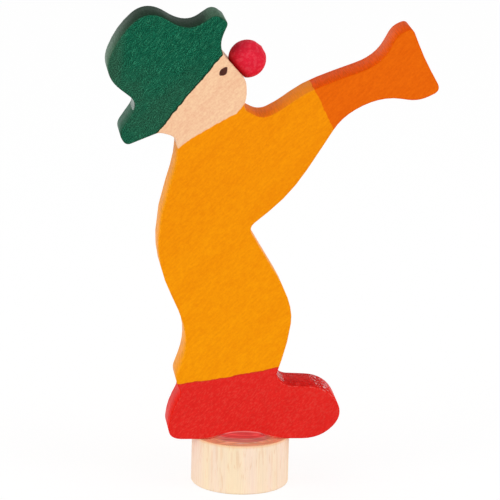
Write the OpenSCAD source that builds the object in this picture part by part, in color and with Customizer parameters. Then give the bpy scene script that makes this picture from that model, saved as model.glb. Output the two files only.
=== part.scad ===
// Painted wooden clown blowing a horn: a sawn board figure with a turned nose, standing on a plug-in peg

/* [Figure] */
// Height of the sawn figure from the sole to the top of the hat, mm
figure_h = 70.3; // [56:0.1:100]
// Thickness of the board, mm
board_t = 8; // [6:0.5:11]
// Rounding sanded onto the board's edges, mm
edge_round = 0.3; // [0.2:0.05:0.6]
// Largest turn between two flats of a sawn curve, degrees
curve_turn = 8; // [5:1:15]
// Flats across each rounded edge
round_steps = 3; // [2:1:5]

/* [Nose] */
// Diameter of the turned nose, mm
nose_d = 6.1; // [4.5:0.1:7]
// Depth of the flat by which the nose seats on the face, mm
nose_seat = 0.8; // [0.3:0.1:1.2]
// Angle from the nose's axis at which its pointed tip begins, degrees
nose_tip_turn = 26; // [20:1:50]
// Place of the nose on the face edge, as a share of the way from brow to chin
nose_share = 0.69; // [0.45:0.01:0.75]
// Diameter of the tenon turned on the nose, mm
tenon_d = 2; // [1.4:0.1:2.6]
// Length of the nose's tenon, mm
tenon_l = 4; // [2:0.5:8]

/* [Peg] */
// Diameter of the peg that plugs into the ring, mm
peg_d = 16; // [13:0.5:19]
// Height of the peg, mm
peg_h = 8.3; // [6.5:0.1:16]
// Rounding of the peg's lower edge, mm
peg_round = 0.4; // [0.2:0.1:1]

/* [Dowel] */
// Diameter of the hidden dowel between peg and board, mm
dowel_d = 4; // [2.5:0.5:5]
// Length of the dowel inside the peg, mm
dowel_in_peg = 5; // [3:0.5:7]
// Length of the dowel inside the board, mm
dowel_in_board = 9; // [4:0.5:16]
// Chamfer on the dowel's ends, mm
dowel_chamfer = 0.4; // [0.2:0.1:0.8]

/* [Glue] */
// Room for glue around each dowel and tenon, mm
glue_room = 0.05; // [0.02:0.01:0.1]
// Free depth left in each bore past the end of its dowel or tenon, mm
end_room = 0.4; // [0.2:0.1:0.6]
// Height to which the squeezed-out glue climbs the board's face, mm
glue_rise = 1.7; // [0.6:0.05:2.5]
// Thickness of the glue at the peg's rim, mm
glue_lip = 0.08; // [0.04:0.02:0.2]
// Power of the glue's hollow curve, from 1 for a straight slope to 3 for a deep hollow
glue_hollow = 1.1; // [1:0.1:3]
// Flats across the glue's hollow curve
glue_steps = 10; // [6:1:16]

/* [Hidden] */
$fn = 96;
// Reach of each drill past the face that it enters
drill_past = 1;

// The pattern on the board: x forward, z up from the sole, and how far each corner's curve reaches
soft = 20;
brow = [-4.8, 64.1];
chin = [-0.9, 59.9];
heel = [[-12.4, 0, 2.4], [-12.1, 4, soft], [-10.3, 7.7, 0.8]];
leg_back = [[-11.3, 10.2, 0.9], [-9.5, 15.2, soft], [-10, 20, soft]];
back = [[-14.6, 29.1, soft], [-14.3, 37.8, soft], [-11.7, 46, soft], [-11.6, 50.6, soft],
        [-14.7, 51.4, 0.8]];
hat_brim = [[-20, 49.2, 0.9], [-21.3, 51.2, 1.4], [-18, 56.1, 2], [-24, 60.6, soft]];
hat_crown = [[-21.5, 67.2, soft], [-16.6, 71.6, soft], [-10.4, 67.7, soft]];
hat_knob = [[-6, 70.8, 1.2], [-3.9, 69.3, 0.8], [-5.2, 66.3, soft]];
face = [[brow.x, brow.y, 0.9], [chin.x, chin.y, 0.8], [-0.7, 57.3, soft], [-1.3, 55.2, 0.9]];
arm_top = [[1.9, 53.6, 1.5], [4.7, 55, 1.4], [8.9, 58.1, 2.5]];
horn = [[14.3, 60.3, soft], [20.7, 62.6, soft], [23.4, 67.6, 1.2], [25.7, 68.6, 1], [27.7, 63.7, 2.4],
        [30.7, 58.4, 1.4], [27.1, 56.6, 1.8], [21.2, 57.4, soft], [14.9, 54.3, soft]];
arm_under = [[11.9, 49.4, soft], [6.8, 41.3, soft], [0, 35.6, 1.4]];
leg_front = [[2.3, 31.8, 2], [7.8, 22.8, soft], [7, 16.4, soft], [5.1, 10.5, 1]];
toe = [[6.8, 9.1, 0.9], [13.8, 8.8, 3.2], [16.7, 4.1, soft], [12.8, 0, 3]];
pattern = concat(heel, leg_back, back, hat_brim, hat_crown, hat_knob, face, arm_top,
                 horn, arm_under, leg_front, toe);
corners = len(pattern);

function unit(v) = v / norm(v);
function left_of(v) = [-v.y, v.x];
function angle_between(u, v) = acos(max(-1, min(1, unit(u) * unit(v))));
function spot(i) = let (p = pattern[(i + corners) % corners]) [p.x, p.y];

// Where the curve of corner i leaves the side that runs to corner j
function curve_end(i, j) = let (side = spot(j) - spot(i))
    spot(i) + unit(side) * min(pattern[i][2], norm(side) / 2);

// Points along the curve of corner i, each with its direction out of the wood
function curve(i) =
    let (a = curve_end(i, i - 1), m = spot(i), b = curve_end(i, i + 1))
    let (steps = max(2, ceil(angle_between(m - a, b - m) / curve_turn)))
    [for (s = [0 : steps]) let (t = s / steps)
        [(1 - t) * (1 - t) * a + 2 * t * (1 - t) * m + t * t * b,
         left_of(unit((1 - t) * (m - a) + t * (b - m)))]];

// Where two curves meet, one of their two equal points is kept
least_step = 0.001;
drawn = [for (i = [0 : corners - 1]) each curve(i)];
outline = [for (k = [0 : len(drawn) - 1])
    if (norm(drawn[k][0] - drawn[(k + 1) % len(drawn)][0]) > least_step) drawn[k]];
count = len(outline);
pattern_h = max([for (q = outline) q[0].y]);
grow = figure_h / pattern_h;

// Depth below the outline, and place through the board's thickness, of each level of the rounded edges
front_levels = [for (s = [0 : round_steps]) let (a = 90 * s / round_steps)
    [edge_round * (1 - sin(a)), -board_t / 2 + edge_round * (1 - cos(a))]];
back_levels = [for (s = [round_steps : -1 : 0]) [front_levels[s][0], -front_levels[s][1]]];
levels = concat(front_levels, back_levels);
last_level = len(levels) - 1;

function level_spot(q, depth) = q[0] * grow - q[1] * depth;

// Triangles that fill the flat face: one free corner after another is cut off
function turn(a, b, c) = (b.x - a.x) * (c.y - a.y) - (b.y - a.y) * (c.x - a.x);
function covers(a, b, c, p) = turn(a, b, p) <= 0 && turn(b, c, p) <= 0 && turn(c, a, p) <= 0;
function around(ring, i) = [for (k = [-1, 0, 1]) ring[(i + k + len(ring)) % len(ring)]];
function is_free(spots, ring, i) =
    let (c = around(ring, i), a = spots[c[0]], m = spots[c[1]], b = spots[c[2]])
    let (inside = [for (j = ring) if (len(search(j, c)) == 0 && covers(a, m, b, spots[j])) j])
    turn(a, m, b) < 0 && len(inside) == 0;
function first_free(spots, ring, i) = is_free(spots, ring, i) ? i : first_free(spots, ring, i + 1);
function filled(spots, ring, done = []) =
    len(ring) == 3 ? concat(done, [ring]) :
    let (i = first_free(spots, ring, 0))
    filled(spots, [for (k = [0 : len(ring) - 1]) if (k != i) ring[k]], concat(done, [around(ring, i)]));

// Seat of the nose: its place on the face edge and its axis, square to that edge
nose_spot = (brow + (chin - brow) * nose_share) * grow;
nose_axis = left_of(unit(chin - brow));
nose_lean = atan2(nose_axis.x, nose_axis.y);
nose_r = nose_d / 2;
peg_r = peg_d / 2;

module at_nose() {
    translate([nose_spot.x, 0, nose_spot.y + peg_h]) rotate([0, nose_lean, 0]) children();
}

// The board as sawn and sanded, before drilling
module sawn_board() {
    face_triangles = filled([for (q = outline) level_spot(q, edge_round)], [for (k = [0 : count - 1]) k]);
    polyhedron(
        points = [for (l = levels) for (q = outline)
            let (p = level_spot(q, l[0])) [p.x, l[1], p.y + peg_h]],
        faces = concat(
            face_triangles,
            [for (t = face_triangles) [for (k = [2, 1, 0]) t[k] + last_level * count]],
            [for (j = [0 : last_level - 1]) for (k = [0 : count - 1])
                [j * count + k, (j + 1) * count + k, (j + 1) * count + (k + 1) % count]],
            [for (j = [0 : last_level - 1]) for (k = [0 : count - 1])
                [j * count + k, (j + 1) * count + (k + 1) % count, j * count + (k + 1) % count]]));
}

module figure_board() {
    color("orange") difference() {
        sawn_board();
        translate([0, 0, peg_h - drill_past])
            cylinder(d = dowel_d + 2 * glue_room, h = drill_past + dowel_in_board + end_room);
        at_nose() translate([0, 0, -tenon_l - end_room])
            cylinder(d = tenon_d + 2 * glue_room, h = tenon_l + end_room + drill_past);
    }
}

// A ball turned on the end of its tenon, flat where it seats, with a blunt point where it was cut free
module nose_bead() {
    tip_r = nose_r * sin(nose_tip_turn);
    tip_h = nose_r * (1 - cos(nose_tip_turn));
    color("crimson") at_nose() union() {
        translate([0, 0, nose_r - nose_seat]) rotate_extrude() intersection() {
            circle(r = nose_r);
            translate([0, nose_seat - nose_r]) square([nose_d, nose_d]);
            polygon([[0, -nose_r], [nose_d, -nose_r], [nose_d, nose_r - tip_h * nose_d / tip_r],
                     [0, nose_r]]);
        }
        translate([0, 0, -tenon_l]) cylinder(d = tenon_d, h = tenon_l + nose_seat);
    }
}

// A slice of round rod, bored for the dowel, with its lower edge rounded
module base_peg() {
    color("wheat") difference() {
        rotate_extrude() union() {
            square([peg_r - peg_round, peg_h]);
            translate([0, peg_round]) square([peg_r, peg_h - peg_round]);
            translate([peg_r - peg_round, peg_round]) circle(r = peg_round);
        }
        translate([0, 0, peg_h - dowel_in_peg - end_room])
            cylinder(d = dowel_d + 2 * glue_room, h = dowel_in_peg + end_room + drill_past);
    }
}

module base_dowel() {
    dowel_r = dowel_d / 2;
    length = dowel_in_peg + dowel_in_board;
    color("tan") translate([0, 0, peg_h - dowel_in_peg]) rotate_extrude()
        polygon([[0, 0], [dowel_r - dowel_chamfer, 0], [dowel_r, dowel_chamfer],
                 [dowel_r, length - dowel_chamfer], [dowel_r - dowel_chamfer, length], [0, length]]);
}

// Clear glue in the corner between the board's face and the peg's ledge, hollow like any wet fillet
module glue_fillet() {
    ledge = peg_r - board_t / 2;
    hollow = [for (s = [0 : glue_steps]) let (part = s / glue_steps)
        [peg_r - ledge * part, glue_lip + (glue_rise - glue_lip) * pow(part, glue_hollow)]];
    color([0.95, 0.88, 0.75]) intersection() {
        translate([0, 0, peg_h]) rotate_extrude()
            polygon(concat(hollow, [[0, glue_rise], [0, 0], [peg_r, 0]]));
        translate([-peg_d, -board_t / 2 - peg_d, 0]) cube([2 * peg_d, peg_d, peg_h + figure_h]);
    }
}

module front_glue_fillet() {
    glue_fillet();
}

module rear_glue_fillet() {
    mirror([0, 1, 0]) glue_fillet();
}

figure_board();
nose_bead();
base_peg();
base_dowel();
front_glue_fillet();
rear_glue_fillet();
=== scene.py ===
"""Looks of a painted wooden clown on a plug-in peg: paint, bare wood, glue, floor, light and camera."""
import math

import bmesh
import bpy
from mathutils import Matrix, Vector


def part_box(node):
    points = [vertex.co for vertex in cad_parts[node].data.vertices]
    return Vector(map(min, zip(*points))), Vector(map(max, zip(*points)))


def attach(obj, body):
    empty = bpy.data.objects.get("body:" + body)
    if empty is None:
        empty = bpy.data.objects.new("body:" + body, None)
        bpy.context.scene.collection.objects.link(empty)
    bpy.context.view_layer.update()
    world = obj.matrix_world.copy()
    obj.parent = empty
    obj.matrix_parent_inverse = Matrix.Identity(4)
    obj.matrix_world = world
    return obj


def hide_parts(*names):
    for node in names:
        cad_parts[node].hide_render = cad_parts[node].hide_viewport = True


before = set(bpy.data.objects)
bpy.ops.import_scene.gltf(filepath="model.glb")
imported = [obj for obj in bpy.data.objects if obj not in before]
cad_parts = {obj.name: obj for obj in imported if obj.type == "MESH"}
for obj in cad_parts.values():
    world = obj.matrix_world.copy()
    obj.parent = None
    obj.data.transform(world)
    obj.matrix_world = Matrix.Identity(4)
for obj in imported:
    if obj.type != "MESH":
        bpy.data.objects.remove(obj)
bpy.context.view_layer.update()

# Units, and sizes read from the frame in metres
MM = 0.001
TO_MM = 1000.0
board_low, board_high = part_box("figure_board")
SOLE_Z = board_low.z
SOLE_MM = SOLE_Z * TO_MM
FACE_Y = board_high.y
FACE_MM = FACE_Y * TO_MM
PEG_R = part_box("base_peg")[1].y
GLUE_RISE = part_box("front_glue_fillet")[1].z - SOLE_Z

# Colours in plain light, 0 to 255, some with painted light or shade as noted: SIDE is for walls sawn
# along the grain, EDGE for end grain and for walls facing up and down, darker with painted shade
HAT_GREEN = (19, 89, 65)
HAT_FLECK = (54, 134, 100)
HAT_DARK = (10, 60, 44)
HAT_CLOUD = (48, 86, 66)
HAT_FRINGE = (16, 42, 28)
HAT_SIDE = (46, 96, 74)
# Paler walls of the crown: painted light
HAT_CROWN_SIDE_LIT = (80, 113, 91)
HAT_EDGE = (34, 56, 42)
SKIN = (249, 202, 162)
SKIN_SIDE = (252, 206, 168)
SKIN_EDGE = (240, 180, 140)
SUIT_AMBER = (246, 145, 11)
SUIT_LOW_LIT = (248, 153, 10)
# Paler amber low on the suit: painted light
SUIT_SIDE = (253, 160, 18)
SUIT_EDGE = (240, 120, 10)
SLEEVE_EDGE = (244, 152, 44)
HORN_ORANGE = (235, 104, 13)
HORN_SIDE = (236, 91, 4)
HORN_EDGE = (236, 86, 6)
SHOE_RED = (228, 41, 36)
SHOE_SIDE = (235, 32, 20)
SHOE_EDGE = (213, 30, 27)
SHOE_FRINGE = (176, 40, 20)
# Scuffs of thin paint with painted glints, and painted glints on the shoe's arrises
SCUFF_AND_GLINT = (240, 160, 152)
POOL_RED = (216, 32, 28)
POOL_GREEN = (46, 94, 73)
NOSE_CRIMSON = (229, 34, 57)
NOSE_PINK = (234, 90, 104)
# Painted shade where the nose meets the face
NOSE_SEAT_SHADE = (152, 3, 3)
EYE_BROWN = (74, 32, 20)
BEECH = (255, 234, 200)
BEECH_FLECK = (236, 192, 146)
BEECH_ROSE = (255, 231, 210)
# Glue-soaked rim, with painted red light bounced from the shoe
BEECH_SOAKED_AND_BOUNCE = (250, 186, 124)
# Glue over the ledge: wet wood with a painted reflection of the red shoe; over the face: the red paint
# seen through and reflected, painted in
GLUE_LEDGE_WET_AND_REFLECTED = (255, 186, 146)
# Painted shade in the glue where it meets the sole
GLUE_BAND_SHADE = (218, 132, 124)
GLUE_TOP_SEEN_RED = (255, 98, 98)
# Painted highlights on the glue
GLUE_HIGHLIGHT = (255, 214, 206)

# Roughness, gloss and depth of relief of each finish
PAINT_ROUGH = 0.6
SIDE_ROUGH = 0.3
END_GRAIN_ROUGH = 0.45
PAINT_GLOSS = 0.005
NOSE_ROUGH = 0.55
NOSE_GLOSS = 0.04
EYE_ROUGH = 0.45
EYE_GLOSS = 0.2
BEECH_ROUGH = 0.7
BEECH_GLOSS = 0.05
GLUE_ROUGH = 0.12
GLUE_GLOSS = 0.15
FILM_ROUGH = 0.25
WOOD_BUMP = 0.02 * MM
GLUE_BUMP = 0.03 * MM
FILM_BUMP = 0.06 * MM

# Noise: its mean, and the span that holds most of it
NOISE_MEAN = 0.5
NOISE_SPAN = (0.3, 0.7)

# Paint lines on the board in mm, x from the peg's axis and z above the sole, with the zone on the left
CHIN = (-2.35, 54.33)
HAT_LINE = ((-14.74, 51.55), (-5.12, 63.54))
COLLAR_LINE = ((-12.29, 48.08), CHIN)
THROAT_LINE = (CHIN, (-1.04, 56.0))
CUFF_LINE = ((10.14, 58.17), (13.02, 52.4))
SHOE_LINE = ((5.34, 12.26), (-10.92, 9.41))
COLLAR_BULGE = -0.35
SHOE_BULGE = -0.25
LINE_BLUR = 0.07
FRINGE_START = (-0.12, 0.02)  # where pooled paint sets in along a line
FRINGE_END = (0.25, 0.05)  # where it ends, deeper in the zone

# Waves of the paint lines: features per mm along x, y and z, and size in mm
LINE_WAVES = (((0.35, 0.2, 0.35), 0.5), ((1.6, 0.6, 1.6), 0.3))

# Grain of the board: turns of its fibres, of the paint's hairs and of the near-upright way along which
# walls take darker end-grain paint and painted shade
GRAIN_TURN = math.radians(46)
HAIR_TURN = math.radians(52)
END_TURN = math.radians(95)

# Spans in mm over which looks of the board set in, X along it and Z above the sole
SUIT_Z = (5.0, 60.0)  # from a paler amber low down, painted light, to the amber higher up
CROWN_Z = (58.0, 61.0)  # from the brim to the crown's own walls, which are paler with painted light and take painted shade where they slope up
CLOUD_Z = (65.0, 57.0)  # clouds in the paint, down to the brim
RUBBED_X = (-19.8, -21.8)  # the brim's rubbed end
KNOB_X = (-8.2, -6.2)  # from the crown's slope to the knob, whose walls are spared the painted shade
SLEEVE_X = (0.0, 9.0)  # the sleeve's worn end grain
GLINT_X = (9.0, 14.0)  # more painted glint towards the tip of the toe

# Spans of the surface's direction, and of the wall's share at an arris, over which looks set in
WALL_TURN = (0.98, 0.45)  # through the board
END_GRAIN_AND_SHADE_TURN = (0.6, 0.97)  # along that way: end grain, and walls facing up and down, darker with painted shade
SLOPE_TURN = (0.25, 0.8)  # upwards, on the crown, where walls take painted shade
GLINT_TURN = (0.1, 0.4)  # upwards, on the shoe, for painted glints
ARRIS_START = (0.05, 0.35)
ARRIS_END = (0.98, 0.7)

# Strength of the looks of the board
CLOUD_SHARE = 0.45
RUBBED_SHARE = 0.75
KNOB_SHARE = 0.8
KNOB_WAVE = 2.0  # times the waves of the paint lines
SLEEVE_SHARE = 0.6
# Least painted glint on the shoe's arrises, away from the toe
GLINT_LEAST = 0.35
SHOE_FRINGE_SHARE = 0.35
HAT_ARRIS_SHARE = 0.4
RED_SWING = 0.55  # of the grain's tones in red
GREEN_BLUE_SWING = 1.4  # of the grain's tones in green and blue
WALL_ROLL = 0.25  # lean of a wall's shading at its two arrises

# Marks and tones in the board's noise: features per mm, the noise from least to most, and the strength
HAIR_MARKS = dict(per_mm=(0.8, 8.0, 8.0), span=(0.46, 0.74), most=0.7, detail=1.0)
DARK_HAIR_MARKS = dict(per_mm=(0.8, 7.5, 7.5), span=(0.46, 0.74), most=0.42, detail=1.0)
DARK_HAIR_SHIFT = (9.0, 9.0, 9.0)
CLOUD_MARKS = dict(per_mm=(0.2, 0.2, 0.2), span=(0.35, 0.6), least=0.3)
GRIT_TONES = dict(per_mm=(6.5, 6.5, 6.5), span=(0.35, 0.65), swing=0.56, detail=1.0)
HAT_WALL_TONES = dict(per_mm=(5.0, 1.6, 5.0), span=(0.35, 0.65), swing=0.2, detail=3.0)
THIN_MARKS = dict(per_mm=(2.4, 6.5, 6.5), span=(0.45, 0.7), most=0.025, detail=1.0)
THIN_SHIFT = (5.0, 5.0, 5.0)
MOTTLE_TONES = dict(per_mm=(1.5, 1.1, 1.5), span=(0.35, 0.65), swing=0.1, detail=3.0)
# The shoe's scuffs are thin paint with painted glints; the marks on its arrises are painted glints
SCUFF_AND_GLINT_MARKS = dict(per_mm=(1.4, 3.0, 3.0), span=(0.52, 0.74), most=0.12)
GLINT_MARKS = dict(per_mm=(3.0, 3.0, 3.0), span=(0.48, 0.64), most=0.75)
BAND_TONES = dict(per_mm=(0.05, 0.35, 0.35), swing=0.025, detail=3.0)
FIBRE_TONES = dict(per_mm=(0.8, 3.2, 3.2), swing=0.05)
SPECK_TONES = dict(per_mm=(3.6, 3.6, 3.6), swing=0.04, detail=1.0)
FIBRE_RELIEF = dict(per_mm=(0.5, 4.5, 4.5))
SAW_MARKS = dict(per_mm=(5.0, 0.35, 5.0))
SAW_SWING = 0.1

# Nose: its middle in mm, the way it points, where painted shade darkens it towards its seat, and its
# marks and tones
NOSE_AT = Vector((-0.45, 0.0, SOLE_MM + 62.52))
NOSE_AXIS = Vector((0.732, 0.0, 0.681))
NOSE_SEAT = (-1.2, -2.4)
NOSE_PALE_MARKS = dict(per_mm=(1.6, 1.6, 1.6), span=(0.44, 0.66), most=0.3, detail=3.0)
NOSE_BLOTCH_TONES = dict(per_mm=(0.8, 0.8, 0.8), swing=0.06, detail=3.0)
NOSE_SPECK_TONES = dict(per_mm=(5.0, 5.0, 5.0), swing=0.05, detail=1.0)
NOSE_RELIEF = dict(per_mm=(3.0, 3.0, 3.0), detail=3.0)

# Peg and dowel: marks and tones of bare wood, and the rim soaked with glue and warmed by painted red
# bounce light, in mm from the sole
PEG_END_TURN = (0.6, 0.95)
PEG_ROSE_MARKS = dict(per_mm=(0.28, 0.28, 0.03), span=(0.35, 0.65))
PEG_FIBRE_TONES = dict(per_mm=(5.0, 5.0, 0.25), swing=0.03)
PEG_FLECK_MARKS = dict(per_mm=(4.0, 4.0, 0.5), span=(0.58, 0.72), most=0.4, detail=1.0)
PEG_DASH_MARKS = dict(per_mm=(1.6, 1.6, 0.22), span=(0.62, 0.76), most=0.3, detail=0.0)
PEG_PORE_MARKS = dict(per_mm=(6.0, 6.0, 0.4), span=(0.6, 0.72), most=0.6, detail=1.0)
PEG_RELIEF = dict(per_mm=(5.0, 5.0, 0.3))
SOAK_AND_BOUNCE_Z = (-0.6, 0.0)
SOAK_AND_BOUNCE_SHARE = 0.6

# Eyes: dabs of paint whose rings are given as a share of the dab's size and a height off the face
EYE_AT = (-4.6, 61.17)  # in mm, as the paint lines are
EYE_TURN = math.radians(49.7)
EYE_LONG = 0.92 * MM
EYE_WIDE = 0.58 * MM
EYE_POWER = 1.5  # 1 is a lozenge, 2 an ellipse
EYE_UNEVEN = 0.06  # size of the bulges round the outline
EYE_BULGES = 3
EYE_BULGES_START = 0.7
EYE_RISE = 0.06 * MM
EYE_RINGS = ((0.45, 0.055 * MM), (0.75, 0.045 * MM), (0.92, 0.025 * MM), (1.0, -0.02 * MM))
EYE_STEPS = 40
EYE_MARKS = dict(per_mm=(3.0, 3.0, 3.0), span=NOISE_SPAN, least=0.8, most=1.25)

# Films of glossy paint on the walls, each within reach of a place in the air before it, in mm
FILMS = {
    "brim_pool": dict(
        at=(-20.3, 56.1), reach=2.6, rise=0.1 * MM, paint=POOL_GREEN, gloss=0.12,
        fade=1.2, per_mm=(0.3, 1.3, 0.3), span=(0.0, 0.1)),
    "toe_pool": dict(
        at=(6.8, 11.5), reach=2.4, rise=0.15 * MM, paint=POOL_RED, gloss=0.45,
        fade=2.4, per_mm=(0.2, 2.2, 0.2), span=(0.2, 0.8)),
    "toe_gloss": dict(
        at=(14.0, 14.0), reach=7.2, rise=0.04 * MM, paint=POOL_RED, gloss=0.45,
        fade=0.1, per_mm=(1.6, 1.1, 1.6), span=(0.55, 0.6)),
}
FILM_EDGE = 0.25 * MM  # left bare along each face
FILM_POWER = 4  # of the curve from the middle down to these edges
FILM_SOLID = 0.3  # share of the arc without thinning
FILM_SUNK = 0.03 * MM  # depth in the wall where the film ends
FILM_STEPS = 24
FILM_SWING = 0.1
SPOT_DIGITS = 7  # of metres, to which two corners are the same spot

# Shape of the squeezed-out glue: a hollow fillet that thins to its ends, with a round top and rings
GLUE_SHRUNK = 0.2 * MM  # less than the fillet's full height
GLUE_TALL = GLUE_RISE - GLUE_SHRUNK
GLUE_LIP = 0.08 * MM  # height at the peg's rim
GLUE_HOLLOW = 1.1  # power of the curve from the rim up to the board
GLUE_FULL = 2.5 * MM  # reach to each side at full height
GLUE_FADE = 6.4 * MM  # reach to each side where the loss is whole
GLUE_LOSS = 0.75  # of the height at the ends
GLUE_CREASE = 0.2 * MM  # least height against the board
GLUE_CREASE_WIDE = 0.8 * MM
GLUE_RINGS = 4
GLUE_RIPPLE = 0.03 * MM
GLUE_ROUND = 0.15 * MM  # radius of the top
GLUE_ROUND_STEPS = 5
GLUE_SUNK = 0.03 * MM  # into the board and the ledge
GLUE_INSET = 0.03 * MM  # from the peg's rim
GLUE_END = 0.1 * MM  # from the ends of the ledge
GLUE_STATIONS = 72
GLUE_STEPS = 32

# Sway of the glue's rings about the peg: size, count in a turn and start of each wave
GLUE_SWAY = ((0.8, 3, 0.0), (0.5, 7, 1.0))

# Spans in mm over which looks of the glue set in, X from the middle of the fillet and Z above the ledge
GLUE_BAND_X = (5.2, 3.2)  # the band of painted shade half way up, along the sole
GLUE_BAND_Z = (0.3, 0.45)
GLUE_TOP_Z = (0.62, 0.78)  # the red top, the face seen through the glue and reflected in it, painted in
GLUE_HIGHLIGHT_X = (4.6, 2.2)  # painted highlight lines
GLUE_WISP_START = (0.16, 0.24)  # painted highlights in wisps below the band
GLUE_WISP_END = (0.45, 0.36)
GLUE_CLOUDY_Z = (0.03, 0.3)  # from the clear ledge to the cloudy top
GLUE_THIN_X = (6.9, 4.0)  # from the thin ends to the middle
GLUE_ROUND_X = (2.6, 4.2)  # clear ends of the round top

# Strength of the looks of the glue, and the direction that counts as its round top
GLUE_ROUND_TURN = (0.55, 0.8)
GLUE_ROUND_HIGHLIGHT = 0.3
GLUE_ROUND_CLEAR = 0.9
GLUE_LEDGE_CLOUDY = 0.5
GLUE_TOP_CLOUDY = 0.68
GLUE_THIN_LEAST = 0.25
# Swing of the painted light and dark streaks along the glue's rings
GLUE_LIGHT_STREAK_SWING = 0.25
GLUE_RIPPLES = dict(per_mm=(0.12, 3.2, 3.2), detail=1.0)
GLUE_WISP_MARKS = dict(per_mm=(0.45, 4.0, 4.0), span=(0.56, 0.7), most=0.7, detail=1.0)

# Shading of the board: which corners are one, and which directions are flat faces and sawn walls
JOIN_GAP = 0.001 * MM
FLAT_LEAST = 0.999  # of the direction through the board
WALL_MOST = 0.02  # of the direction through the board

# Camera as the photograph was taken: a long lens, a little from the left and above
AIM = Vector((0.79, 0.0, 39.18)) * MM
CAMERA_AZIMUTH = math.radians(-6.2)
CAMERA_ELEVATION = math.radians(14.3)
CAMERA_ROLL = math.radians(1.46)
CAMERA_DISTANCE = 560 * MM
CAMERA_LENS = 248.4
CAMERA_NEAR = 10 * MM
CAMERA_FAR = 100.0

# Light of the open studio on the object, from all round and from a wide lamp on either side
WORLD_LEVEL = 0.68
LAMP_AZIMUTH = math.radians(60)
LAMP_ELEVATION = math.radians(6)
LAMP_DISTANCE = 900 * MM
LAMP_SIZE = 700 * MM
LAMP_POWER = 3.3

# Floor: half its side in metres, and how white it is
FLOOR_HALF = 6.0
FLOOR_COLOUR = 0.9  # to the light that it throws back on the object
FLOOR_GLOW = 0.83  # to the camera, by itself
FLOOR_SEEN = 0.22  # to the camera, by the light on it, with the shadow


def linear(colour):
    """A 0 to 255 screen colour as the linear values that the shader takes."""
    parts = [c / 255 for c in colour]
    return (*[c / 12.92 if c <= 0.04045 else ((c + 0.055) / 1.055) ** 2.4 for c in parts], 1.0)


def grey(level):
    """A linear grey, 0 black and 1 white."""
    return (level, level, level, 1.0)


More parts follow.
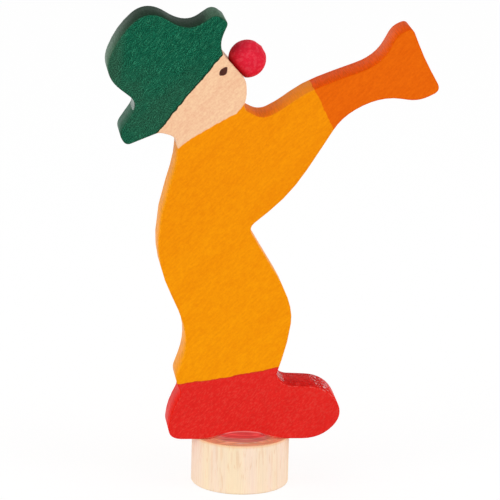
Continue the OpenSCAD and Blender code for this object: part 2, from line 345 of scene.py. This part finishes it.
class Graph:
    """A material and short calls that add nodes to it and give back the last node's output."""

    def __init__(self, name):
        self.material = bpy.data.materials.new(name)
        self.material.use_nodes = True
        self.tree = self.material.node_tree
        self.tree.nodes.clear()
        self.output = self.add("ShaderNodeOutputMaterial")

    def add(self, kind, **settings):
        """A new node with its settings."""
        node = self.tree.nodes.new(kind)
        for key, value in settings.items():
            setattr(node, key, value)
        return node

    def feed(self, socket, value):
        """Links an output to the socket, or sets the socket to a number or colour."""
        if isinstance(value, bpy.types.NodeSocket):
            self.tree.links.new(value, socket)
        else:
            socket.default_value = value

    def math(self, operation, a, b=0.0, c=0.0, clamp=False):
        """One sum on numbers; MULTIPLY_ADD is a times b plus c."""
        node = self.add("ShaderNodeMath", operation=operation, use_clamp=clamp)
        for socket, value in zip(node.inputs, (a, b, c)):
            self.feed(socket, value)
        return node.outputs[0]

    def times(self, first, *others):
        """The product of the values."""
        for value in others:
            first = self.math("MULTIPLY", first, value)
        return first

    def largest(self, first, *others):
        """The largest of the values."""
        for value in others:
            first = self.math("MAXIMUM", first, value)
        return first

    def absolute(self, value):
        """The value without its sign."""
        return self.math("ABSOLUTE", value)

    def inverse(self, share):
        """One less the share."""
        return self.math("SUBTRACT", 1.0, share)

    def vector(self, operation, a, b=(0.0, 0.0, 0.0)):
        """One sum on vectors."""
        node = self.add("ShaderNodeVectorMath", operation=operation)
        self.feed(node.inputs[0], a)
        self.feed(node.inputs[1], b)
        return node.outputs["Value" if operation == "DOT_PRODUCT" else "Vector"]

    def ramp(self, value, low, high, start=0.0, end=1.0):
        """A soft step from start to end as the value goes from low to high."""
        node = self.add("ShaderNodeMapRange", interpolation_type="SMOOTHSTEP")
        for socket, number in zip(node.inputs, (value, low, high, start, end)):
            self.feed(socket, number)
        return node.outputs[0]

    def band(self, value, start, end):
        """A soft step up over the span start, and down again over the span end."""
        return self.times(self.ramp(value, *start), self.ramp(value, *end))

    def mix(self, share, a, b, blend="MIX"):
        """Two colours mixed; the node's colour sockets are its inputs 6 and 7 and its output 2."""
        node = self.add("ShaderNodeMix", data_type="RGBA", blend_type=blend)
        for socket, value in zip((node.inputs[0], node.inputs[6], node.inputs[7]), (share, a, b)):
            self.feed(socket, value)
        return node.outputs[2]

    def cover(self, colour, share, paint):
        """The colour with a share of it covered by a paint, given 0 to 255."""
        return self.mix(share, colour, linear(paint))

    def shade(self, colour, factor, share=1.0):
        """The colour with a share of it multiplied by the factor."""
        return self.mix(share, colour, factor, "MULTIPLY")

    def place(self):
        """The point on the object in mm, in the part's own frame."""
        coords = self.add("ShaderNodeTexCoord")
        return self.vector("MULTIPLY", coords.outputs["Object"], (TO_MM, TO_MM, TO_MM))

    def facing(self):
        """The direction of the surface in the part's own frame."""
        return self.add("ShaderNodeTexCoord").outputs["Normal"]

    def parts(self, vector):
        """A vector's x, y and z."""
        node = self.add("ShaderNodeSeparateXYZ")
        self.feed(node.inputs[0], vector)
        return node.outputs

    def joined(self, x, y, z):
        """A vector from its x, y and z."""
        node = self.add("ShaderNodeCombineXYZ")
        for socket, value in zip(node.inputs, (x, y, z)):
            self.feed(socket, value)
        return node.outputs[0]

    def turned(self, where, angle):
        """The vector turned about the board's thickness."""
        node = self.add("ShaderNodeVectorRotate", rotation_type="Y_AXIS")
        self.feed(node.inputs["Vector"], where)
        self.feed(node.inputs["Angle"], angle)
        return node.outputs[0]

    def streaks(self, where, per_mm, detail=2.0):
        """Noise with its own count of features per mm along x, y and z."""
        node = self.add("ShaderNodeTexNoise")
        self.feed(node.inputs["Vector"], self.vector("MULTIPLY", where, per_mm))
        self.feed(node.inputs["Scale"], 1.0)
        self.feed(node.inputs["Detail"], detail)
        return node.outputs["Fac"]

    def marks(self, where, per_mm, span, least=0.0, most=1.0, detail=2.0):
        """Marks that grow from least to most as the noise crosses the span."""
        return self.ramp(self.streaks(where, per_mm, detail), *span, least, most)

    def about_one(self, noise, swing, span=NOISE_SPAN):
        """A factor that swings about one as the noise crosses the span."""
        return self.ramp(noise, *span, 1 - swing, 1 + swing)

    def tones(self, where, per_mm, swing, span=NOISE_SPAN, detail=2.0):
        """Lighter and darker places, as a factor about one."""
        return self.about_one(self.streaks(where, per_mm, detail), swing, span)

    def bump(self, height, distance, normal=None):
        """The direction of the surface with fine relief on it."""
        node = self.add("ShaderNodeBump")
        self.feed(node.inputs["Distance"], distance)
        self.feed(node.inputs["Height"], height)
        if normal:
            self.feed(node.inputs["Normal"], normal)
        return node.outputs[0]

    def finish(self, **values):
        """Ends the material with a shader that has these values on its sockets."""
        shader = self.add("ShaderNodeBsdfPrincipled")
        for name, value in values.items():
            self.feed(shader.inputs[name.replace("_", " ")], value)
        self.feed(self.output.inputs["Surface"], shader.outputs[0])
        return self.material


class PaintedWood(Graph):
    """Thin paint in zones over a sawn board, with the wood's fibres and end grain showing through."""

    def __init__(self):
        super().__init__("painted_wood")
        self.spot = self.place()
        self.x, self.y, z = self.parts(self.spot)
        self.above = self.math("SUBTRACT", z, SOLE_MM)
        self.grain = self.turned(self.spot, GRAIN_TURN)
        self.way = self.facing()
        outward = self.parts(self.way)
        self.upward = outward["Z"]
        self.wall = self.ramp(self.absolute(outward["Y"]), *WALL_TURN)
        # How far a wall faces up or down: such walls get darker end-grain paint with painted shade, and
        # rougher paint
        along_grain = self.parts(self.turned(self.way, END_TURN))["X"]
        self.facing_up_down = self.ramp(self.absolute(along_grain), *END_GRAIN_AND_SHADE_TURN)
        self.wobble = self.line_wobble()
        self.hat_depth = self.depth(HAT_LINE)
        self.shoe_depth = self.depth(SHOE_LINE, SHOE_BULGE)
        face_depth = self.math("MINIMUM", self.depth(COLLAR_LINE, COLLAR_BULGE), self.depth(THROAT_LINE))
        self.in_horn = self.inside(self.depth(CUFF_LINE))
        self.in_face = self.inside(face_depth)
        self.in_hat = self.inside(self.hat_depth)
        self.in_shoe = self.inside(self.shoe_depth)
        self.in_crown = self.times(self.ramp(self.above, *CROWN_Z), self.in_hat)
        self.warmth = self.grain_warmth()
        self.saw_marks = self.streaks(self.spot, **SAW_MARKS)

    def line_wobble(self):
        """How far the brush strayed from a paint line, in mm."""
        total = 0.0
        for per_mm, size in LINE_WAVES:
            swing = self.math("SUBTRACT", self.streaks(self.spot, per_mm), NOISE_MEAN)
            total = self.math("MULTIPLY_ADD", swing, size, total)
        return total

    def depth(self, line, bulge=0.0):
        """How far the point is inside a paint line's zone, in mm; bulge bows the line at its middle."""
        start, end = Vector(line[0]), Vector(line[1])
        way = (end - start).normalized()
        along, inward = (way.x, 0.0, way.y), (-way.y, 0.0, way.x)
        foot = Vector((start.x, 0.0, start.y + SOLE_MM))
        reach = self.math("SUBTRACT", self.vector("DOT_PRODUCT", self.spot, along), foot.dot(along))
        share = self.math("DIVIDE", reach, (end - start).length, clamp=True)
        # A share times its inverse is a quarter at the middle of the line
        bow = self.times(share, self.inverse(share), 4 * bulge)
        across = self.math("SUBTRACT", self.vector("DOT_PRODUCT", self.spot, inward), foot.dot(inward))
        return self.math("ADD", self.math("ADD", across, bow), self.wobble)

    def inside(self, depth):
        """One in the zone of a paint line, with a narrow blur along the line."""
        return self.ramp(depth, -LINE_BLUR, LINE_BLUR)

    def fringe(self, depth):
        """A narrow band along a paint line, where the paint has pooled."""
        return self.band(depth, FRINGE_START, FRINGE_END)

    def grain_warmth(self):
        """Bands, fibres and specks as a factor that swings less in red than in green and blue."""
        tone = self.times(self.tones(self.grain, **BAND_TONES), self.tones(self.grain, **FIBRE_TONES),
                          self.tones(self.spot, **SPECK_TONES))
        red = self.math("MULTIPLY_ADD", tone, RED_SWING, 1 - RED_SWING)
        others = self.math("MULTIPLY_ADD", tone, GREEN_BLUE_SWING, 1 - GREEN_BLUE_SWING)
        return self.joined(red, others, others)

    def zones(self, suit, horn, skin, hat, shoe):
        """The suit's colour with the paints of the other zones over it."""
        masks = (self.in_horn, self.in_face, self.in_hat, self.in_shoe)
        for mask, paint in zip(masks, (horn, skin, hat, shoe)):
            suit = self.cover(suit, mask, paint)
        return suit

    def face_colour(self):
        """The flat faces, with hairs, grit and clouds on the hat and bare specks on the shoe."""
        # The suit paler towards the sole: painted light
        suit = self.mix(self.ramp(self.above, *SUIT_Z), linear(SUIT_LOW_LIT), linear(SUIT_AMBER))
        colour = self.zones(suit, HORN_ORANGE, SKIN, HAT_GREEN, SHOE_RED)
        hairs = self.turned(self.spot, HAIR_TURN)
        pale = self.marks(hairs, **HAIR_MARKS)
        dark = self.marks(self.vector("ADD", hairs, DARK_HAIR_SHIFT), **DARK_HAIR_MARKS)
        colour = self.cover(colour, self.times(pale, self.in_hat), HAT_FLECK)
        colour = self.cover(colour, self.times(dark, self.in_hat), HAT_DARK)
        brim = self.ramp(self.above, *CLOUD_Z, 0.0, CLOUD_SHARE)
        clouds = self.times(self.marks(self.spot, **CLOUD_MARKS), brim)
        rubbed = self.ramp(self.x, *RUBBED_X, 0.0, RUBBED_SHARE)
        colour = self.cover(colour, self.times(self.largest(clouds, rubbed), self.in_hat), HAT_CLOUD)
        colour = self.shade(colour, self.tones(self.spot, **GRIT_TONES), self.in_hat)
        colour = self.cover(colour, self.fringe(self.hat_depth), HAT_FRINGE)
        shoe_fringe = self.times(self.fringe(self.shoe_depth), SHOE_FRINGE_SHARE)
        colour = self.cover(colour, shoe_fringe, SHOE_FRINGE)
        thin = self.marks(self.vector("ADD", self.grain, THIN_SHIFT), **THIN_MARKS)
        colour = self.cover(colour, self.times(thin, self.in_shoe), BEECH)
        return self.shade(colour, self.warmth)

    def wall_colour(self):
        """The sawn walls, with saw marks, mottling, scuffs and wear, painted glints, painted shade where
        they face up and down, and painted light on the crown's walls.
        """
        sawn = self.about_one(self.saw_marks, SAW_SWING)
        side = self.zones(linear(SUIT_SIDE), HORN_SIDE, SKIN_SIDE, HAT_SIDE, SHOE_SIDE)
        # Painted light on the crown's walls
        side = self.cover(side, self.in_crown, HAT_CROWN_SIDE_LIT)
        side = self.shade(self.shade(side, self.warmth), sawn)
        # Edge colours: darker end-grain paint with painted shade, for walls facing up and down
        edge = self.zones(linear(SUIT_EDGE), HORN_EDGE, SKIN_EDGE, HAT_EDGE, SHOE_EDGE)
        edge = self.shade(edge, sawn)
        other_zones = self.largest(self.in_horn, self.in_hat, self.in_shoe)
        sleeve = self.times(self.ramp(self.x, *SLEEVE_X, 0.0, SLEEVE_SHARE), self.inverse(other_zones))
        edge = self.cover(edge, sleeve, SLEEVE_EDGE)
        edge = self.shade(edge, self.tones(self.spot, **MOTTLE_TONES), self.in_shoe)
        # Scuffs on the shoe: thin paint, with painted glints
        edge = self.cover(edge, self.times(self.marks(self.spot, **SCUFF_AND_GLINT_MARKS), self.in_shoe), SCUFF_AND_GLINT)
        # Painted shade: walls facing up and down, and the crown's upward walls, take the darker edge
        # colour
        sloped = self.times(self.ramp(self.upward, *SLOPE_TURN), self.in_crown)
        colour = self.mix(self.largest(self.facing_up_down, sloped), side, edge)
        # The knob's walls are spared that painted shade and keep the side colour
        knob = self.math("SUBTRACT", self.x, self.times(self.wobble, KNOB_WAVE))
        knob = self.times(self.ramp(knob, *KNOB_X), self.in_hat, KNOB_SHARE)
        colour = self.mix(knob, colour, side)
        return self.shade(colour, self.tones(self.spot, **HAT_WALL_TONES), self.in_hat)

    def darker_and_glinting_arrises(self, colour):
        """The colour with the hat's arrises darker, and painted glints on the shoe's arrises where they
        look up.
        """
        arris = self.band(self.wall, ARRIS_START, ARRIS_END)
        colour = self.cover(colour, self.times(arris, self.in_hat, HAT_ARRIS_SHARE), HAT_EDGE)
        # Painted glints on the shoe's upward arrises, more towards the toe's tip
        upper = self.times(self.in_shoe, self.ramp(self.upward, *GLINT_TURN))
        to_tip = self.ramp(self.x, *GLINT_X, GLINT_LEAST, 1.0)
        glints = self.times(self.marks(self.spot, **GLINT_MARKS), upper, to_tip)
        return self.cover(colour, self.times(arris, glints), SCUFF_AND_GLINT)

    def roughness(self):
        """Matt faces, and walls that are glossier, least so on end grain."""
        walls = self.math("MULTIPLY_ADD", self.facing_up_down, END_GRAIN_ROUGH - SIDE_ROUGH, SIDE_ROUGH)
        change = self.math("SUBTRACT", walls, PAINT_ROUGH)
        return self.math("MULTIPLY_ADD", self.wall, change, PAINT_ROUGH)

    def relief(self):
        """Fibres all over and saw marks on the walls, which roll a little towards the two faces."""
        through = self.math("DIVIDE", self.y, FACE_MM)
        lean = self.joined(0.0, self.times(through, self.wall, WALL_ROLL), 0.0)
        rolled = self.vector("NORMALIZE", self.vector("ADD", self.way, lean))
        fibres = self.streaks(self.grain, **FIBRE_RELIEF)
        height = self.math("ADD", fibres, self.times(self.wall, self.saw_marks))
        return self.bump(height, WOOD_BUMP, normal=rolled)

    def make(self):
        """The finished material."""
        colour = self.darker_and_glinting_arrises(self.mix(self.wall, self.face_colour(), self.wall_colour()))
        return self.finish(Base_Color=colour, Roughness=self.roughness(), Specular_IOR_Level=PAINT_GLOSS,
                           Normal=self.relief())


def nose_paint():
    """Matt crimson on a turned ball, blotched, with paler places, and painted shade around its seat."""
    g = Graph("nose_paint")
    place = g.place()
    colour = g.cover(linear(NOSE_CRIMSON), g.marks(place, **NOSE_PALE_MARKS), NOSE_PINK)
    off_seat = g.math("SUBTRACT", g.vector("DOT_PRODUCT", place, NOSE_AXIS), NOSE_AT.dot(NOSE_AXIS))
    # Painted shade towards the seat against the face
    colour = g.cover(colour, g.ramp(off_seat, *NOSE_SEAT), NOSE_SEAT_SHADE)
    tone = g.times(g.tones(place, **NOSE_BLOTCH_TONES), g.tones(place, **NOSE_SPECK_TONES))
    colour = g.shade(colour, tone)
    return g.finish(Base_Color=colour, Roughness=NOSE_ROUGH, Specular_IOR_Level=NOSE_GLOSS,
                    Normal=g.bump(g.streaks(place, **NOSE_RELIEF), WOOD_BUMP))


def bare_beech():
    """Sanded beech with upright grain, short flecks, pores on the end grain, and a rim that is
    glue-soaked and warmed by painted red light bounced from the shoe.
    """
    g = Graph("bare_beech")
    place = g.place()
    above = g.math("SUBTRACT", g.parts(place)["Z"], SOLE_MM)
    facing_up_down = g.ramp(g.absolute(g.parts(g.facing())["Z"]), *PEG_END_TURN)
    colour = g.cover(linear(BEECH), g.marks(place, **PEG_ROSE_MARKS), BEECH_ROSE)
    colour = g.shade(colour, g.tones(place, **PEG_FIBRE_TONES))
    flecks = g.largest(g.marks(place, **PEG_FLECK_MARKS), g.marks(place, **PEG_DASH_MARKS))
    colour = g.cover(colour, flecks, BEECH_FLECK)
    colour = g.cover(colour, g.times(facing_up_down, g.marks(place, **PEG_PORE_MARKS)), BEECH_FLECK)
    # The rim under the shoe: glue-soaked, with painted red bounce light
    colour = g.cover(colour, g.ramp(above, *SOAK_AND_BOUNCE_Z, 0.0, SOAK_AND_BOUNCE_SHARE), BEECH_SOAKED_AND_BOUNCE)
    return g.finish(Base_Color=colour, Roughness=BEECH_ROUGH, Specular_IOR_Level=BEECH_GLOSS,
                    Normal=g.bump(g.streaks(place, **PEG_RELIEF), WOOD_BUMP))


def clear_glue():
    """Dried glue, cloudy where it is thick, with the red face seen through it and reflected in it
    painted in, a band of painted shade, and painted highlights and streaks along its rings of shrinking.
    """
    g = Graph("clear_glue")
    place = g.place()
    split = g.parts(place)
    above = g.math("SUBTRACT", split["Z"], SOLE_MM)
    sideways = g.absolute(split["X"])
    ripples = g.streaks(place, **GLUE_RIPPLES)
    # A band of painted shade half way up, along the sole
    band = g.times(g.ramp(above, *GLUE_BAND_Z), g.ramp(sideways, *GLUE_BAND_X))
    # The ledge's wet wood with the red shoe's painted reflection, and the red face painted in as seen
    # through the glue
    colour = g.cover(linear(GLUE_LEDGE_WET_AND_REFLECTED), band, GLUE_BAND_SHADE)
    colour = g.cover(colour, g.ramp(above, *GLUE_TOP_Z), GLUE_TOP_SEEN_RED)
    # Painted light and dark streaks along the rings
    colour = g.shade(colour, g.about_one(ripples, GLUE_LIGHT_STREAK_SWING))

    # Painted highlights on the round top and in wisps
    crest = g.ramp(g.absolute(g.parts(g.facing())["Y"]), *GLUE_ROUND_TURN)
    wisps = g.times(g.marks(place, **GLUE_WISP_MARKS), g.band(above, GLUE_WISP_START, GLUE_WISP_END))
    highlight = g.largest(g.times(crest, GLUE_ROUND_HIGHLIGHT), wisps)
    highlight = g.times(highlight, g.ramp(sideways, *GLUE_HIGHLIGHT_X))
    colour = g.cover(colour, highlight, GLUE_HIGHLIGHT)

    cloudy = g.times(g.ramp(above, *GLUE_CLOUDY_Z, GLUE_LEDGE_CLOUDY, GLUE_TOP_CLOUDY),
                     g.ramp(sideways, *GLUE_THIN_X, GLUE_THIN_LEAST, 1.0))
    crest_ends = g.times(crest, g.ramp(sideways, *GLUE_ROUND_X, 0.0, GLUE_ROUND_CLEAR))
    cloudy = g.largest(g.times(cloudy, g.inverse(crest_ends)), highlight)
    return g.finish(Base_Color=colour, Alpha=cloudy, Roughness=GLUE_ROUGH, Specular_IOR_Level=GLUE_GLOSS,
                    Normal=g.bump(ripples, GLUE_BUMP))


def pooled_paint(name, centre, arc, paint, gloss, fade, per_mm, span):
    """Paint that ran together along the arc of a wall and dried glossy, thinner at the arc's ends.

    It fades towards the faces over fade mm, and sets in as its streaks' noise crosses the span.
    """
    g = Graph(name)
    place = g.place()
    ways = [(spot - centre).normalized() for spot in arc]
    middle = sum(ways, Vector((0, 0))).normalized()
    widest = max(middle.angle(way) for way in ways)
    way = g.vector("SUBTRACT", place, (centre.x * TO_MM, 0.0, centre.y * TO_MM))
    way = g.vector("NORMALIZE", g.vector("MULTIPLY", way, (1.0, 0.0, 1.0)))
    turn = g.vector("DOT_PRODUCT", way, (middle.x, 0.0, middle.y))
    along = g.ramp(turn, math.cos(widest), math.cos(widest * FILM_SOLID))
    edge = (FACE_Y - FILM_EDGE) * TO_MM
    across = g.ramp(g.absolute(g.parts(place)["Y"]), edge, edge - fade)
    ripples = g.streaks(place, per_mm)
    film = g.times(along, across, g.ramp(ripples, *span))
    colour = g.shade(linear(paint), g.about_one(ripples, FILM_SWING))
    return g.finish(Base_Color=colour, Alpha=film, Roughness=FILM_ROUGH, Specular_IOR_Level=gloss,
                    Normal=g.bump(ripples, FILM_BUMP))


def eye_paint():
    """A thick dab of dark brown paint."""
    g = Graph("eye_paint")
    colour = g.shade(linear(EYE_BROWN), g.marks(g.place(), **EYE_MARKS))
    return g.finish(Base_Color=colour, Roughness=EYE_ROUGH, Specular_IOR_Level=EYE_GLOSS)


def smooth_edges(obj):
    """Shades the sawn walls and the sanded edges smooth, each up to the other, and the faces flat."""
    group = bpy.data.node_groups.new("smooth_edges", "GeometryNodeTree")
    group.interface.new_socket("Geometry", in_out="INPUT", socket_type="NodeSocketGeometry")
    group.interface.new_socket("Geometry", in_out="OUTPUT", socket_type="NodeSocketGeometry")
    nodes, link = group.nodes, group.links.new
    source = nodes.new("NodeGroupInput")
    target = nodes.new("NodeGroupOutput")
    merge = nodes.new("GeometryNodeMergeByDistance")
    merge.inputs["Distance"].default_value = JOIN_GAP
    split = nodes.new("ShaderNodeSeparateXYZ")
    link(nodes.new("GeometryNodeInputNormal").outputs["Normal"], split.inputs[0])

    def compute(operation, a, b=0.0, c=0.0):
        node = nodes.new("ShaderNodeMath")
        node.operation = operation
        link(a, node.inputs[0])
        node.inputs[1].default_value = b
        node.inputs[2].default_value = c
        return node.outputs[0]

    def on_faces(value):
        node = nodes.new("GeometryNodeFieldOnDomain")
        node.domain = "FACE"
        link(value, node.inputs[0])
        return node.outputs[0]

    through = compute("ABSOLUTE", split.outputs["Y"])
    flat = compute("GREATER_THAN", through, FLAT_LEAST)
    wall = on_faces(compute("LESS_THAN", through, WALL_MOST))
    # An edge takes the mean of its two faces, so it is about a half where a wall ends
    border = compute("COMPARE", wall, 0.5, 0.25)
    normals = nodes.new("GeometryNodeSetMeshNormal")
    normals.inputs["Remove Custom"].default_value = True
    link(source.outputs[0], merge.inputs["Geometry"])
    link(merge.outputs[0], normals.inputs["Mesh"])
    link(border, normals.inputs["Edge Sharpness"])
    link(flat, normals.inputs["Face Sharpness"])
    link(normals.outputs[0], target.inputs[0])
    obj.modifiers.new("smooth_edges", "NODES").node_group = group


def add_mesh(name, points, faces, material):
    """A smooth piece that rides on the one body and takes its finish from the slot."""
    mesh = bpy.data.meshes.new(name)
    mesh.from_pydata(points, [], faces)
    shape = bmesh.new()
    shape.from_mesh(mesh)
    bmesh.ops.recalc_face_normals(shape, faces=shape.faces)
    shape.to_mesh(mesh)
    shape.free()
    mesh.materials.append(material)
    mesh.polygons.foreach_set("use_smooth", [True] * len(mesh.polygons))
    obj = bpy.data.objects.new(name, mesh)
    bpy.context.scene.collection.objects.link(obj)
    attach(obj, "root")
    return obj


def ring_faces(start, rings, count):
    """Quads between neighbouring rings of count points each, numbered on from start."""
    faces = []
    for first in range(start, start + (rings - 1) * count, count):
        for step in range(count):
            after = (step + 1) % count
            faces.append((first + step, first + count + step, first + count + after, first + after))
    return faces


def add_loft(name, rings, material):
    """A closed piece through rings of as many points each, capped at both ends."""
    count = len(rings[0])
    points = [point for ring in rings for point in ring]
    caps = [tuple(range(count)), tuple(range(len(points) - count, len(points)))]
    return add_mesh(name, points, caps + ring_faces(0, len(rings), count), material)


def add_eye(name, side, material):
    """A dab of paint, a rounded lozenge in line with the hat; side is -1 at the front, 1 behind."""
    centre = Vector((EYE_AT[0] * MM, side * FACE_Y, SOLE_Z + EYE_AT[1] * MM))
    long_way = Vector((math.cos(EYE_TURN), 0, math.sin(EYE_TURN))) * EYE_LONG
    wide_way = Vector((-math.sin(EYE_TURN), 0, math.cos(EYE_TURN))) * EYE_WIDE
    out = Vector((0, side, 0))
    points = [centre + out * EYE_RISE]
    for share, rise in EYE_RINGS:
        for step in range(EYE_STEPS):
            angle = 2 * math.pi * step / EYE_STEPS
            a, b = math.cos(angle), math.sin(angle)
            reach = share * (1 + EYE_UNEVEN * math.sin(EYE_BULGES * angle + EYE_BULGES_START))
            reach /= (abs(a) ** EYE_POWER + abs(b) ** EYE_POWER) ** (1 / EYE_POWER)
            points.append(centre + (long_way * a + wide_way * b) * reach + out * rise)
    top = [(0, 1 + step, 1 + (step + 1) % EYE_STEPS) for step in range(EYE_STEPS)]
    base = tuple(range(len(points) - EYE_STEPS, len(points)))
    faces = top + ring_faces(1, len(EYE_RINGS), EYE_STEPS) + [base]
    add_mesh(name, points, faces, material)


def wall_arc(centre, reach):
    """The sawn wall's outline within reach of a place in the air before it, in order around it."""
    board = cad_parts["figure_board"]
    corners = [board.matrix_world @ vertex.co for vertex in board.data.vertices]
    near = {(round(p.x, SPOT_DIGITS), round(p.z, SPOT_DIGITS)) for p in corners
            if abs(p.y) < FACE_Y - FILM_EDGE and (Vector((p.x, p.z)) - centre).length < reach}
    spots = [Vector(spot) for spot in near]
    middle = sum((spot - centre for spot in spots), Vector((0, 0)))
    return sorted(spots, key=lambda spot: middle.angle_signed(spot - centre))


def add_film(name, at, reach, rise, **looks):
    """A thin film of paint that lies along a sawn wall, from one face to the other."""
    centre = Vector((at[0] * MM, SOLE_Z + at[1] * MM))
    arc = wall_arc(centre, reach * MM)
    rings = []
    for step, spot in enumerate(arc):
        out = (centre - spot).normalized()
        above, below = [], []
        for across in range(FILM_STEPS + 1):
            share = 2 * across / FILM_STEPS - 1
            swell = math.sin(math.pi * step / (len(arc) - 1)) * (1 - share ** FILM_POWER)
            top = spot + out * (rise * swell - FILM_SUNK * (1 - swell))
            base = spot - out * 2 * FILM_SUNK
            y = share * (FACE_Y - FILM_EDGE)
            above.append(Vector((top.x, y, top.y)))
            below.append(Vector((base.x, y, base.y)))
        rings.append(above + below[::-1])
    material = pooled_paint(name, centre, arc, **looks)
    add_loft(name, rings, material)


def eased(share):
    """A share with a soft start and a soft end."""
    return share * share * (3 - 2 * share)


def glue_height(x, y):
    """Height of the dried glue over the ledge, less towards its ends, with faint rings."""
    angle = math.atan2(x, y)
    share = max(0.0, (PEG_R - math.hypot(x, y)) / (PEG_R - FACE_Y))
    sway = sum(size * math.sin(count * angle + start) for size, count, start in GLUE_SWAY)
    ripple = GLUE_RIPPLE * 4 * share * (1 - share) * math.sin(GLUE_RINGS * 2 * math.pi * share + sway)
    climb = (GLUE_TALL - GLUE_ROUND - GLUE_LIP) * share ** GLUE_HOLLOW + ripple
    past = min(1.0, max(0.0, (abs(x) - GLUE_FULL) / (GLUE_FADE - GLUE_FULL)))
    taper = 1 - GLUE_LOSS * eased(past)
    crease = GLUE_CREASE * max(0.0, 1 - (y - FACE_Y) / GLUE_CREASE_WIDE) * (1 - past / 2)
    return max(GLUE_LIP + climb * taper, crease)


def add_glue(name, side, material, node):
    """The glue between the peg's ledge and the board's face; side is -1 at the front, 1 behind."""
    half = math.sqrt(PEG_R ** 2 - FACE_Y ** 2) - GLUE_END
    rings = []
    for station in range(GLUE_STATIONS + 1):
        x = half * (2 * station / GLUE_STATIONS - 1)
        rim = math.sqrt((PEG_R - GLUE_INSET) ** 2 - x * x)
        top = glue_height(x, FACE_Y + GLUE_ROUND)
        section = [(FACE_Y - GLUE_SUNK, -GLUE_SUNK), (FACE_Y - GLUE_SUNK, top + GLUE_ROUND)]
        for step in range(GLUE_ROUND_STEPS):
            angle = math.radians(90) * (1 - step / GLUE_ROUND_STEPS)
            section.append((FACE_Y + GLUE_ROUND * math.cos(angle), top + GLUE_ROUND * math.sin(angle)))
        for step in range(GLUE_STEPS + 1):
            y = FACE_Y + GLUE_ROUND + (rim - FACE_Y - GLUE_ROUND) * step / GLUE_STEPS
            section.append((y, glue_height(x, y)))
        section.append((rim, -GLUE_SUNK))
        rings.append([Vector((x, side * y, SOLE_Z + z)) for y, z in section])
    piece = add_loft(name, rings, material)
    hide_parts(node)


def direction(azimuth, elevation):
    """From the object towards a place at that azimuth and elevation."""
    flat = math.cos(elevation)
    return Vector((math.sin(azimuth) * flat, -math.cos(azimuth) * flat, math.sin(elevation)))


def add_camera():
    data = bpy.data.cameras.new("camera")
    data.lens = CAMERA_LENS
    data.clip_start = CAMERA_NEAR
    data.clip_end = CAMERA_FAR
    camera = bpy.data.objects.new("camera", data)
    back = direction(CAMERA_AZIMUTH, CAMERA_ELEVATION)
    camera.rotation_mode = "QUATERNION"
    camera.location = AIM + back * CAMERA_DISTANCE
    turn = (-back).to_track_quat("-Z", "Y").to_matrix() @ Matrix.Rotation(CAMERA_ROLL, 3, "Z")
    camera.rotation_quaternion = turn.to_quaternion()
    bpy.context.scene.collection.objects.link(camera)
    bpy.context.scene.camera = camera


def add_lamp(name, azimuth):
    """A wide round lamp that looks at the object."""
    data = bpy.data.lights.new(name, "AREA")
    data.shape = "DISK"
    data.size = LAMP_SIZE
    data.energy = LAMP_POWER
    lamp = bpy.data.objects.new(name, data)
    way = direction(azimuth, LAMP_ELEVATION)
    lamp.location = AIM + way * LAMP_DISTANCE
    lamp.rotation_mode = "QUATERNION"
    lamp.rotation_quaternion = (-way).to_track_quat("-Z", "Y")
    bpy.context.scene.collection.objects.link(lamp)


def seen_directly(tree):
    """One for rays from the camera, and for mirror and glass rays, which show the same white."""
    path = tree.nodes.new("ShaderNodeLightPath")
    total = path.outputs["Is Camera Ray"]
    for name in ("Is Glossy Ray", "Is Transmission Ray"):
        node = tree.nodes.new("ShaderNodeMath")
        node.operation = "MAXIMUM"
        tree.links.new(total, node.inputs[0])
        tree.links.new(path.outputs[name], node.inputs[1])
        total = node.outputs[0]
    return total


def add_world():
    """Even light from all round, which is white to the camera."""
    world = bpy.data.worlds.new("studio")
    world.use_nodes = True
    tree = world.node_tree
    background = tree.nodes["Background"]
    background.inputs["Color"].default_value = grey(1.0)
    strength = tree.nodes.new("ShaderNodeMapRange")
    tree.links.new(seen_directly(tree), strength.inputs["Value"])
    strength.inputs["To Min"].default_value = WORLD_LEVEL
    strength.inputs["To Max"].default_value = 1.0
    tree.links.new(strength.outputs[0], background.inputs["Strength"])
    bpy.context.scene.world = world


def add_floor():
    """A white table, bright to the camera by itself, that still takes the object's soft shadow."""
    corners = [(x * FLOOR_HALF, y * FLOOR_HALF, 0) for x, y in ((-1, -1), (1, -1), (1, 1), (-1, 1))]
    mesh = bpy.data.meshes.new("floor")
    mesh.from_pydata(corners, [], [(0, 1, 2, 3)])
    floor = bpy.data.objects.new("floor", mesh)
    g = Graph("white_floor")
    seen = seen_directly(g.tree)
    diffuse = g.add("ShaderNodeBsdfDiffuse")
    g.feed(diffuse.inputs["Color"], g.mix(seen, grey(FLOOR_COLOUR), grey(FLOOR_SEEN)))
    glow = g.add("ShaderNodeEmission")
    g.feed(glow.inputs["Strength"], g.times(seen, FLOOR_GLOW))
    total = g.add("ShaderNodeAddShader")
    g.feed(total.inputs[0], diffuse.outputs[0])
    g.feed(total.inputs[1], glow.outputs[0])
    g.feed(g.output.inputs["Surface"], total.outputs[0])
    mesh.materials.append(g.material)
    bpy.context.scene.collection.objects.link(floor)


beech = bare_beech()
finishes = {
    "figure_board": PaintedWood().make(),
    "nose_bead": nose_paint(),
    "base_peg": beech,
    "base_dowel": beech,
}
for name, material in finishes.items():
    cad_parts[name].data.materials[0] = material
smooth_edges(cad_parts["figure_board"])
eye = eye_paint()
add_eye("eye_front", -1, eye)
add_eye("eye_rear", 1, eye)
for name, film in FILMS.items():
    add_film(name, **film)
glue = clear_glue()
add_glue("glue_front", -1, glue, "front_glue_fillet")
add_glue("glue_rear", 1, glue, "rear_glue_fillet")

add_camera()
add_world()
add_lamp("left_lamp", -LAMP_AZIMUTH)
add_lamp("right_lamp", LAMP_AZIMUTH)
add_floor()
bpy.context.scene.view_settings.view_transform = "Standard"
